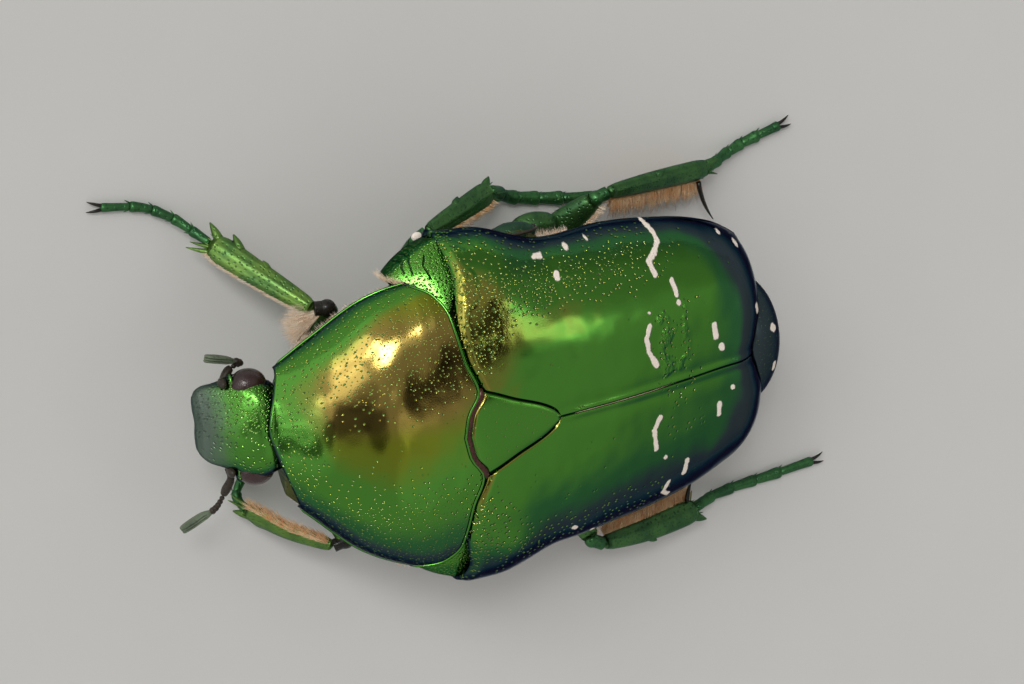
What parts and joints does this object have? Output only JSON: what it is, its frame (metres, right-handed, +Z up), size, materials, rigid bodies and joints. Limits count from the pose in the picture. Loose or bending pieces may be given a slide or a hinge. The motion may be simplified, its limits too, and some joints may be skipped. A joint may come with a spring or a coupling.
{
  "type": "flower chafer beetle model",
  "caption": "Still, life-size model of a metallic green flower chafer beetle standing on its feet.",
  "frame": {"origin": "middle of the footprint box at floor level, under the beetle", "axes": "+Z up, +Y towards the beetle's tail, the head faces -Y, +X to the beetle's left"},
  "size_m": [0.017, 0.0294, 0.0092],
  "materials": {
    "shell": "polished metallic green cuticle with gold, teal and indigo tints and fine punctures",
    "limb": "dark metallic green cuticle, punctured, with pale bristles",
    "belly": "bronze green cuticle",
    "eye": "glossy dark brown"
  },
  "bodies": {
    "root": {"abdomen": "belly", "antenna_left": "limb", "antenna_right": "limb", "coxa_front_left": "belly", "coxa_front_right": "belly", "coxa_hind_left": "belly", "coxa_hind_right": "belly", "coxa_middle_left": "belly", "coxa_middle_right": "belly", "elytron_left": "shell", "elytron_right": "shell", "eye_left": "eye", "eye_right": "eye", "femur_front_left": "limb", "femur_front_right": "limb", "femur_hind_left": "limb", "femur_hind_right": "limb", "femur_middle_left": "limb", "femur_middle_right": "limb", "head": "shell", "mesepimeron_left": "shell", "mesepimeron_right": "shell", "pronotum": "shell", "prothorax": "belly", "pygidium": "shell", "scutellum": "shell", "tarsus_front_left": "limb", "tarsus_front_right": "limb", "tarsus_hind_left": "limb", "tarsus_hind_right": "limb", "tarsus_middle_left": "limb", "tarsus_middle_right": "limb", "thorax": "belly", "tibia_front_left": "limb", "tibia_front_right": "limb", "tibia_hind_left": "limb", "tibia_hind_right": "limb", "tibia_middle_left": "limb", "tibia_middle_right": "limb"}
  },
  "joints": []
}
